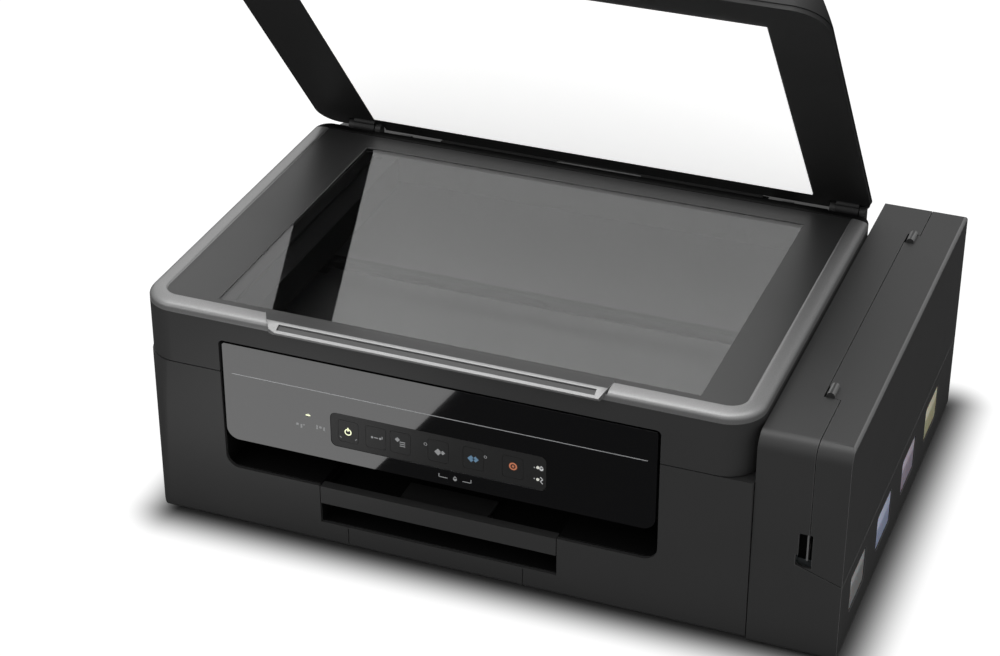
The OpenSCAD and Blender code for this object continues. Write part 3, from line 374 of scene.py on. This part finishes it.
# %% Panel acrylic
gloss_acrylic, tree, shader, place = start("piano_black_acrylic")
shader.inputs["Base Color"].default_value = linear("#060607")
dust = add(tree, "ShaderNodeTexNoise", {"Vector": place, "Scale": per_mm(25), "Detail": 5.0})
haze = add(tree, "ShaderNodeMapRange", {"Value": dust.outputs["Fac"], "To Min": 0.03, "To Max": 0.09})
tree.links.new(haze.outputs["Result"], shader.inputs["Roughness"])
shader.inputs["IOR"].default_value = 1.49
shader.inputs["Specular IOR Level"].default_value = 1.0
shader.inputs["Coat Weight"].default_value = 1.0
shader.inputs["Coat Roughness"].default_value = 0.02

# %% Bed glass
bed_glass, tree, shader, place = start("float_glass")
shader.inputs["Base Color"].default_value = linear("#f1f2f2")
shader.inputs["Specular IOR Level"].default_value = 0.95
shader.inputs["Transmission Weight"].default_value = 1.0
shader.inputs["IOR"].default_value = 1.52
smear = add(tree, "ShaderNodeTexNoise", {"Vector": place, "Scale": per_mm(40), "Detail": 4.0})
wiped = add(tree, "ShaderNodeMapRange", {"Value": smear.outputs["Fac"], "To Min": 0.0, "To Max": 0.03})
tree.links.new(wiped.outputs["Result"], shader.inputs["Roughness"])

# %% Pad film
pad_film_painted_glow, tree, shader, place = start("white_polyester_film_painted_glow")
shader.inputs["Base Color"].default_value = linear("#d8d8d7")
shader.inputs["Roughness"].default_value = 0.55
# The film glows with painted light, so that it looks evenly lit
shader.inputs["Emission Color"].default_value = linear("#ffffff")
shader.inputs["Emission Strength"].default_value = 0.68
cells = add(tree, "ShaderNodeTexNoise", {"Vector": place, "Scale": per_mm(7), "Detail": 1.0})
waves = add(tree, "ShaderNodeBump", {"Height": cells.outputs["Fac"], "Strength": 0.15, "Distance": 0.1 * MM})
tree.links.new(waves.outputs["Normal"], shader.inputs["Normal"])
print("glossy surfaces ready")

# %% [markdown]
# ## Metals, rubber, tubes and boards
# Inside, the guide rod and frame are zinc-plated steel with a drawn or rolled grain that runs one way,
# so its noise is stretched along the part. Rollers, belts and feet are rubber. The boards are green
# glass laminate with copper tracks under lacquer.


# %% Drawn and plated steel
def plated_steel(name, hex_code, roughness):
    material, tree, shader, place = start(name)
    along = add(tree, "ShaderNodeMapping", {"Vector": place, "Scale": (0.02, 1.0, 1.0)})
    lines = add(tree, "ShaderNodeTexNoise", {"Vector": along.outputs[0], "Scale": per_mm(0.6), "Detail": 2.0})
    rough = add(tree, "ShaderNodeMapRange", {"Value": lines.outputs["Fac"], "To Min": roughness - 0.08,
                                             "To Max": roughness + 0.1})
    tree.links.new(rough.outputs["Result"], shader.inputs["Roughness"])
    shader.inputs["Base Color"].default_value = linear(hex_code)
    shader.inputs["Metallic"].default_value = 1.0
    return material


zinc_steel = plated_steel("zinc_plated_steel", "#b9babb", 0.35)
brass = plated_steel("turned_brass", "#c9a961", 0.3)


# %% Rubber
def rubber(name, hex_code):
    material, tree, shader, place = start(name)
    speckle = add(tree, "ShaderNodeTexNoise", {"Vector": place, "Scale": per_mm(0.4), "Detail": 3.0})
    bump = add(tree, "ShaderNodeBump", {"Height": speckle.outputs["Fac"], "Strength": 0.4,
                                        "Distance": 0.03 * MM})
    tree.links.new(bump.outputs["Normal"], shader.inputs["Normal"])
    shader.inputs["Base Color"].default_value = linear(hex_code)
    shader.inputs["Roughness"].default_value = 0.8
    return material


black_rubber = rubber("black_rubber", "#19191a")
CAP_COLOURS = {"black": "#1c1c1e", "cyan": "#1d7fae", "magenta": "#b3356f", "yellow": "#c9a51f"}
cap_rubbers = {"cap_" + ink: rubber("cap_rubber_" + ink, hex_code) for ink, hex_code in CAP_COLOURS.items()}

# %% Circuit board laminate
board_green, tree, shader, place = start("green_glass_laminate")
tracks = add(tree, "ShaderNodeTexBrick", {"Vector": place, "Scale": per_mm(9), "Mortar Size": 0.06,
                                          "Color1": linear("#12502f"), "Color2": linear("#15573a"),
                                          "Mortar": linear("#3a8a52")})
tree.links.new(tracks.outputs["Color"], shader.inputs["Base Color"])
shader.inputs["Roughness"].default_value = 0.25

# %% Painted can of the power supply, and clear tubes
supply_paint = grained_plastic("powder_coated_steel", "#4d5054", 0.5, grain=0.8)
clear_tube, tree, shader, place = start("clear_tube_silicone")
bands = add(tree, "ShaderNodeTexNoise", {"Vector": place, "Scale": per_mm(12)})
milk = add(tree, "ShaderNodeMix", {0: bands.outputs["Fac"], 6: linear("#8d9396"), 7: linear("#a9afb2")},
           data_type="RGBA")
tree.links.new(milk.outputs[2], shader.inputs["Base Color"])
shader.inputs["Roughness"].default_value = 0.2
shader.inputs["Transmission Weight"].default_value = 0.4
print("materials", len(bpy.data.materials))

# %% [markdown]
# ## Finishes for the CAD pieces
# Each CAD piece names the finish it is made in. A table from that name to a material dresses all of
# them at once; pieces that are modelled anew below take theirs from the same table.

# %% Dress the CAD nodes
FINISH = {
    "case_plastic": case_abs, "tray_plastic": tray_abs, "recess_plastic": black_ps_and_painted_shade, "rim_plastic": rim_abs,
    "gloss_panel": gloss_acrylic, "key_plastic": key_abs, "foot_rubber": black_rubber,
    "bright_steel": zinc_steel, "circuit_board": board_green, "supply_can": supply_paint,
    "white_plastic": white_nylon, "tube_plastic": clear_tube, "bed_glass": bed_glass,
    "pad_white": pad_film_painted_glow, "tank_plastic": clear_tube, **cap_rubbers,
}
SLOT = {part["node"]: part["material_slot"] for part in frame["record"]["subparts"]}
BODY = {n: body for body, nodes in frame["record"]["behaviour"]["bodies"].items() for n in nodes}


def dress(piece, material):
    piece.data.materials.clear()
    piece.data.materials.append(material)


for name, piece in frame["nodes"].items():
    dress(piece, FINISH[SLOT[name]])
for name in ("motor_pulley", "feed_pulley"):
    dress(frame["nodes"][name], brass)
print("dressed", len(frame["nodes"]), "CAD nodes")

# %% [markdown]
# ## Rounded edges on the moulded shells
# No moulded part has a knife edge: the tool's radius of half a millimetre or so catches a line of
# light along every corner, and that line is what makes a shell look real. Remodelling each shell would
# risk its fits. Instead the CAD shape is copied, its loose triangles are joined into whole faces, and
# a bevel modifier rounds each sharp edge by the tool's radius. The copy stands for the CAD piece.


# %% The softening tool
def finish_piece(piece, node):
    """Names a new piece, lets it ride on its node's body and stand for that node."""
    piece.name = node + "_shape"
    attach(piece, BODY[node])
    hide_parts(node)
    dress(piece, FINISH[SLOT[node]])
    return piece


def only(piece):
    bpy.ops.object.select_all(action="DESELECT")
    piece.select_set(True)
    bpy.context.view_layer.objects.active = piece


def soften(node, radius):
    source = frame["nodes"][node]
    piece = source.copy()
    piece.data = source.data.copy()
    for key in list(piece.keys()):
        del piece[key]
    piece.parent = None
    piece.matrix_world = source.matrix_world.copy()
    scene.collection.objects.link(piece)
    only(piece)
    bpy.ops.object.mode_set(mode="EDIT")
    bpy.ops.mesh.select_all(action="SELECT")
    bpy.ops.mesh.remove_doubles(threshold=0.002 * MM)
    bpy.ops.mesh.dissolve_limited(angle_limit=math.radians(0.4))
    bpy.ops.object.mode_set(mode="OBJECT")
    if radius:
        rounding = piece.modifiers.new("tool_radius", "BEVEL")
        rounding.width = radius * MM
        rounding.segments = 2
        rounding.limit_method = "ANGLE"
        rounding.angle_limit = math.radians(28)
        bpy.ops.object.modifier_apply(modifier="tool_radius")
    bpy.ops.object.shade_smooth_by_angle(angle=math.radians(35))
    smooth_normals(piece)
    return finish_piece(piece, node)


def smooth_normals(piece):
    """Large flat faces keep their own normals, so that shading turns only within the narrow rounded edges."""
    only(piece)
    weight = piece.modifiers.new("even_shading", "WEIGHTED_NORMAL")
    weight.keep_sharp = True
    bpy.ops.object.modifier_apply(modifier="even_shading")


# %% Round the shells
TOOL_RADII = {
    "lower_case": 0.6, "rear_deck": 0.7, "scanner_housing": 0.5, "tank_case": 0.5, "tank_cover": 0.6,
    "cover_shell": 0.7, "cover_frame": 0, "tray_housing": 0.4, "output_tray": 0.4, "tray_extension": 0.4,
    "paper_support": 0.5, "support_extension": 0.5, "edge_guide": 0.3, "tray_stopper": 0.3,
    "front_grip": 0.45, "button_strip": 0.1, "ac_inlet": 0.4, "usb_port": 0.2, "gloss_panel": 0.4,
}
for node, radius in TOOL_RADII.items():
    made = soften(node, radius)
    print(node, len(made.data.polygons), "faces")

# %% [markdown]
# ## The rolled rim round the scanner
# The scanner's top frame is one moulding: a broad rolled rim, about a centimetre wide, that falls over
# to the outside, and a flat ledge that holds the glass. The roll is a curve in section, so the frame is
# drawn as its outline with rounded corners, raised, and then inset ring by ring along that curve.

# %% Outline and roll
SCANNER_D = 266
RIM_H = 6.2
FRONT_CORNER_R = 22
REAR_CORNER_R = 11
# Each step of the roll goes so far inwards and so far up
ROLL = ((0.15, 0.6), (0.3, 0.6), (0.5, 0.5), (0.8, 0.5), (1.1, 0.4), (1.4, 0.35), (1.6, 0.3),
        (1.6, 0.23), (1.5, 0.15), (1.1, 0.07), (0.5, -0.1), (0.4, -0.3), (0.4, -0.5))
bezel_middle = (BODY_W / 2, SCANNER_D / 2, RIM_TOP - RIM_H)
bezel = plate("scanner_bezel_shape", bezel_middle, BODY_W, SCANNER_D, 2.4, 0, FLAT)


def upright(edge):
    low, high = [bezel.data.vertices[i].co for i in edge.vertices]
    return abs(low.z - high.z) > MM


def depth_of(edge):
    return (bezel.data.vertices[edge.vertices[0]].co.y - corner.y) / MM


pick(bezel, "EDGE", lambda e: upright(e) and depth_of(e) < 50)
bpy.ops.mesh.bevel(offset=FRONT_CORNER_R * MM, segments=14)
pick(bezel, "EDGE", lambda e: upright(e) and depth_of(e) > SCANNER_D - 6)
bpy.ops.mesh.bevel(offset=REAR_CORNER_R * MM, segments=10)
pick(bezel, "FACE", lambda f: f.normal.z > 0.9)
for width, rise in ROLL:
    bpy.ops.mesh.inset(thickness=width * MM, depth=rise * MM)
bpy.ops.object.mode_set(mode="OBJECT")
LEDGE = max(v.co.z for v in bezel.data.vertices if v.select) / MM
print("bezel", len(bezel.data.polygons), "faces, ledge at", round(LEDGE, 2), "mm")


# %% Opening, seats and notches
def cut(piece, low, high):
    """Takes a box between two corners out of a piece."""
    middle = [(a + b) / 2 for a, b in zip(low, high)]
    bpy.ops.object.select_all(action="DESELECT")
    bpy.ops.mesh.primitive_cube_add(size=1, location=at(*middle))
    tool = bpy.context.object
    tool.scale = [(b - a) * MM for a, b in zip(low, high)]
    only(piece)
    slice_out = piece.modifiers.new("opening", "BOOLEAN")
    slice_out.operation = "DIFFERENCE"
    slice_out.object = tool
    bpy.ops.object.modifier_apply(modifier="opening")
    bpy.data.objects.remove(tool)


def footprint(node):
    """The left, front, right and rear of a CAD piece, on the printer's ruler."""
    return [(v[i] - corner[i]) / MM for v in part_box(node) for i in (0, 1)]


UNDER, OVER = 100, 200
SEAT = 3
GAP = 0.2
left, front, right, rear = footprint("scanner_glass")
glass_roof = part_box("scanner_glass")[1].z / MM
cut(bezel, (left + SEAT, front + SEAT, UNDER), (right - SEAT, rear - SEAT, OVER))
cut(bezel, (left - GAP, front - GAP, UNDER), (right + GAP, rear + GAP, glass_roof))
for ear in (21, 361):
    cut(bezel, (ear, SCANNER_D - 5, UNDER), (ear + 25, SCANNER_D + 4, OVER))
left, front, right, rear = footprint("front_grip")
cut(bezel, (left + 6, -10, RIM_TOP - 2.6), (right - 0.6, rear + GAP, OVER))
bpy.ops.object.shade_smooth_by_angle(angle=math.radians(38))
finish_piece(bezel, "scanner_bezel")
bezel.data.materials.append(bezel_abs)
bezel.data.materials.append(black_ps_and_painted_shade)
# The ledge and the underside are bare satin plastic, and the strip under the cover's hinges is black as
# painted shade under the cover
for face in bezel.data.polygons:
    ledge = abs(face.center.z - LEDGE * MM) < 0.02 * MM and face.normal.z > 0.9
    if ledge or face.center.z < (RIM_TOP - RIM_H + 0.1) * MM:
        face.material_index = 1
    elif face.center.y > at(0, SCANNER_D - 13, 0).y:
        face.material_index = 2
print("bezel cut,", len(bezel.data.polygons), "faces")

# %% [markdown]
# ## Ink tanks behind the windows
# Four ink tanks of translucent polypropylene press a shallow boss into each window of the tank unit.
# The ink shows through the milky wall as a darker, tinted band up to its level. Each boss is a rounded
# plate with a soft edge, copied down the row, and its ink level is a step in the colour at a height.


# %% Tinted windows
def ink_window(name, above, below, level):
    material, tree, shader, place = start(name)
    height = add(tree, "ShaderNodeSeparateXYZ", {0: place}).outputs["Z"]
    haze = add(tree, "ShaderNodeTexNoise", {"Vector": place, "Scale": per_mm(14), "Detail": 2.0})
    wavy = add(tree, "ShaderNodeMath", {0: haze.outputs["Fac"], 1: 2 * MM, 2: height},
               operation="MULTIPLY_ADD")
    full = add(tree, "ShaderNodeMapRange", {"Value": wavy.outputs[0], "From Min": (level - 1) * MM,
                                            "From Max": (level + 2) * MM})
    tint = add(tree, "ShaderNodeMix", {0: full.outputs["Result"], 6: linear(below), 7: linear(above)},
               data_type="RGBA")
    tree.links.new(tint.outputs[2], shader.inputs["Base Color"])
    shader.inputs["Roughness"].default_value = 0.3
    shader.inputs["Subsurface Weight"].default_value = 0.2
    shader.inputs["Subsurface Scale"].default_value = 2 * MM
    return material


WINDOWS = (("black", "#8d8d8d", "#727272", 36), ("cyan", "#a3a9bd", "#838aa2", 33),
           ("magenta", "#a79fab", "#857d8b", 35), ("yellow", "#b9b69f", "#9b9779", 34))
FIRST_WINDOW = 44.25
WINDOW_PITCH = 65
WINDOW_W, WINDOW_H = 35.9, 24.4
side = footprint("tank_case")[2]
boss = plate("window_boss", (side - 2.6, FIRST_WINDOW, 31.5), WINDOW_W, WINDOW_H, 2.1, 2.7, RIGHT)
pick(boss, "FACE", lambda f: f.normal.x > 0.9)
bpy.ops.mesh.bevel(offset=0.7 * MM, segments=3)
bpy.ops.object.mode_set(mode="OBJECT")
bpy.ops.object.shade_smooth_by_angle(angle=math.radians(40))
for i, (ink, above, below, level) in enumerate(WINDOWS):
    window = boss.copy()
    window.data = boss.data.copy()
    window.name = "window_" + ink
    scene.collection.objects.link(window)
    window.location.y = i * WINDOW_PITCH * MM
    only(window)
    bpy.ops.object.transform_apply(location=True, rotation=False, scale=False)
    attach(window, BODY["ink_tanks"])
    dress(window, ink_window("milky_polypropylene_" + ink, above, below, level))
bpy.data.objects.remove(boss)

# %% [markdown]
# ## Symbols, lights and the silver line
# The symbols on the keys are printed in white, grey, blue and orange ink, hundredths of a millimetre
# thick. Each is put together from bars, dots and rings, and rides on its own key. The power key and the
# status light are lit from behind. A thin bright line crosses the panel above the keys.


# %% Printing inks
def printed(name, hex_code, glow=0.0):
    material, tree, shader, place = start(name)
    grainy = add(tree, "ShaderNodeTexNoise", {"Vector": place, "Scale": per_mm(0.3)})
    worn = [v * 0.85 for v in linear(hex_code)[:3]] + [1]
    tint = add(tree, "ShaderNodeMix", {0: grainy.outputs["Fac"], 6: worn, 7: linear(hex_code)},
               data_type="RGBA")
    tree.links.new(tint.outputs[2], shader.inputs["Base Color"])
    tree.links.new(tint.outputs[2], shader.inputs["Emission Color"])
    shader.inputs["Emission Strength"].default_value = glow
    shader.inputs["Roughness"].default_value = 0.5
    return material


# The white, blue and orange inks glow a little with painted light; the green lens is lit from behind
white_ink_painted_glow = printed("white_printing_ink_painted_glow", "#bdbebf", 0.08)
faint_ink = printed("grey_printing_ink", "#8c8d8e")
blue_ink_painted_glow = printed("blue_printing_ink_painted_glow", "#587a95", 0.06)
orange_ink_painted_glow = printed("orange_printing_ink_painted_glow", "#b56a48", 0.1)
lit_green = printed("lit_pale_green_lens", "#e6ebc4", 0.55)
silver_line = printed("hot_foil_silver", "#b5b6b8")
silver_line.node_tree.nodes["Principled BSDF"].inputs["Metallic"].default_value = 0.5

# %% Symbols
# How far behind the printer's front face the keys' and the panel's own faces lie
KEYS = 0.97
PANEL = 0.78


def dot(x, z, radius, line=0.0, y=KEYS):
    return ring("dot", (x, y, z), radius, line, 0.04)


def bar(x, z, width, height, spin=0.0, y=KEYS):
    return plate("bar", (x, y, z), width, height, 0.04, 0, FRONT, spin)


SYMBOLS = (
    ("power", "button_power", lit_green, lambda: [dot(137.8, 88.5, 2.3, 0.7), bar(137.8, 90.4, 0.8, 2.6)]),
    ("power_corners", "button_power", faint_ink, lambda: [
        bar(132.9, 84.2, 1.5, 0.5, -45), bar(142.9, 84.2, 1.5, 0.5, 45)]),
    ("wireless", "button_wireless", faint_ink, lambda: [
        dot(153.6, 88.8, 0.8), bar(156.2, 88.8, 2.6, 0.7),
        dot(158.9, 88.8, 0.8), bar(160.2, 89.6, 0.6, 1.8)]),
    ("status", "button_status", faint_ink, lambda: [
        bar(170.2, 91.0, 2.4, 2.4, 45), *[bar(173.4, z, 3.6, 0.6) for z in (88.2, 89.6, 86.8)]]),
    ("mono_sheet", "button_mono", faint_ink, lambda: [
        bar(196.4, 88.3, 3.4, 3.4, 45), bar(199.4, 88.3, 2.2, 2.2, 45)]),
    ("mono_start", "button_strip", faint_ink, lambda: [dot(188.4, 92.1, 1.1, 0.35)]),
    ("colour_sheet", "button_colour", blue_ink_painted_glow, lambda: [
        bar(217.6, 88.7, 3.4, 3.4, 45), bar(220.4, 88.7, 3.0, 3.0, 45)]),
    ("colour_start", "button_strip", faint_ink, lambda: [dot(226.7, 92.0, 1.0, 0.35)]),
    ("stop", "button_stop", orange_ink_painted_glow, lambda: [dot(244.2, 89.6, 2.6, 1.0), dot(244.2, 89.6, 0.8)]),
    ("ink_low", "button_strip", white_ink_painted_glow, lambda: [
        bar(262.0, 92.9, 1.7, 1.7, 45), dot(262.0, 91.9, 1.25)]),
    ("paper_out", "button_strip", white_ink_painted_glow, lambda: [
        bar(262.1, 83.8, 2.6, 0.6, 45), bar(262.1, 82.4, 2.2, 0.5, -45), bar(262.1, 85.4, 2.2, 0.5, -45)]),
    ("side_marks", "button_strip", faint_ink, lambda: [dot(257.6, 92.2, 0.5), dot(257.6, 84.4, 0.5)]),
    ("tank_drop", "gloss_panel", faint_ink, lambda: [
        bar(207.2, 72.6, 1.5, 1.5, 45, PANEL), dot(207.2, 71.5, 1.2, 0, PANEL)]),
    ("tank_brackets", "gloss_panel", faint_ink, lambda: [
        bar(199.6, 71.2, 5.5, 0.5, 0, PANEL), bar(214.8, 71.2, 5.5, 0.5, 0, PANEL),
        bar(196.9, 72.3, 0.5, 2.4, 0, PANEL), bar(217.5, 72.3, 0.5, 2.4, 0, PANEL)]),
    ("ready_sheets", "gloss_panel", faint_ink, lambda: [
        bar(104.2, 87.0, 1.6, 1.6, 0, PANEL), bar(106.9, 86.0, 1.2, 2.8, 0, PANEL),
        bar(108.6, 87.2, 1.0, 1.0, 0, PANEL), bar(117.4, 87.6, 1.0, 3.0, 0, PANEL),
        bar(119.6, 87.9, 1.6, 1.6, 0, PANEL), bar(122.0, 87.2, 1.0, 2.6, 0, PANEL)]),
    ("ready_light", "gloss_panel", lit_green, lambda: [bar(111.6, 94.8, 3.0, 0.9, 0, PANEL)]),
    ("panel_line", "gloss_panel", silver_line, lambda: [bar(194.3, 113.4, 265.4, 0.5, 0, PANEL)]),
)
for name, node, ink, draw in SYMBOLS:
    symbol = join("symbol_" + name, draw())
    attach(symbol, BODY[node])
    dress(symbol, ink)
print("symbols", len(SYMBOLS))

# %% [markdown]
# ## The tray's front strip
# Only the front strip of the paper tray is grained like the case. Everything behind it, and the output
# tray, is smooth black as painted shade, so that the mouth of the printer reads as a dark opening.

# %% Second finish on the tray
strip = bpy.data.objects["tray_extension_shape"]
strip.data.materials.clear()
strip.data.materials.append(black_ps_and_painted_shade)
strip.data.materials.append(case_abs)
for face in strip.data.polygons:
    face.material_index = int(face.center.y < at(0, 6.2, 0).y)
dress(bpy.data.objects["output_tray_shape"], black_ps_and_painted_shade)
print("strip faces", sum(f.material_index for f in strip.data.polygons))

# %% [markdown]
# ## Second finishes
# The scanner's grip has the rim's paint on its lip only; its flat top and the groove along it take the
# darker satin plastic. On the tank unit, the long edges are a lighter colour than the faces, a painted
# highlight. Faces are picked by the way they look, and given a second material.

# %% Grip, edges of the tank unit, document cover
LIP_DROP = 3.1
LIP_SLOPE = 0.436
EDGE_AREA = 600 * MM * MM
TANK_LEFT = 400
grip = bpy.data.objects["front_grip_shape"]
grip.data.materials.append(bezel_abs)
for face in grip.data.polygons:
    along = (face.center.y - corner.y) / MM
    lip_top = RIM_TOP - LIP_DROP + (along + 5) * LIP_SLOPE
    flat_top = face.normal.z > 0.98 and along > 2.9
    groove = -4.4 < along < 1.4 and face.center.z / MM < lip_top - 0.45 and face.normal.z > 0.2
    face.material_index = int(flat_top or groove)
# Small slanting faces on the tank unit take the lighter colour as a painted highlight along the edges
for name in ("tank_cover_shape", "tank_case_shape"):
    shape = bpy.data.objects[name]
    shape.data.materials.append(edge_abs_painted_highlight)
    for face in shape.data.polygons:
        slanting = max(abs(v) for v in face.normal) < 0.97 and abs(face.normal.x) > 0.2
        on_tank = face.center.x > at(TANK_LEFT, 0, 0).x
        face.material_index = int(slanting and on_tank and face.area < EDGE_AREA)
for name in ("cover_frame_shape", "cover_shell_shape"):
    dress(bpy.data.objects[name], cover_abs)
# The scan rail and head under the glass are dressed in black as painted shade, so the scanner's inside looks
# dark
for name in ("scan_rail", "scan_head"):
    dress(frame["nodes"][name], black_ps_and_painted_shade)
meshes = [o for o in scene.objects if o.type == "MESH"]
print("second finishes on", len([o for o in meshes if len(o.data.materials) > 1]), "pieces")

# %% [markdown]
# ## The latch of the tank cover
# Beside the cover's lower front corner the case has a slot for a fingertip. A near-black pocket closes it
# from behind as painted shade, and the latch shows in it as a thin upright rib in the lighter edge colour, a
# painted highlight.

# %% Pocket and latch
pocket = plate("latch_pocket", (BODY_W + 31, 10.4, 75), 9.5, 24, 0.6, 0)
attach(pocket, BODY["tank_case"])
dress(pocket, black_ps_and_painted_shade)
latch = plate("latch_rib", (BODY_W + 32.9, 9.6, 75), 1.0, 18, 5.5, 0)
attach(latch, BODY["tank_case"])
dress(latch, edge_abs_painted_highlight)
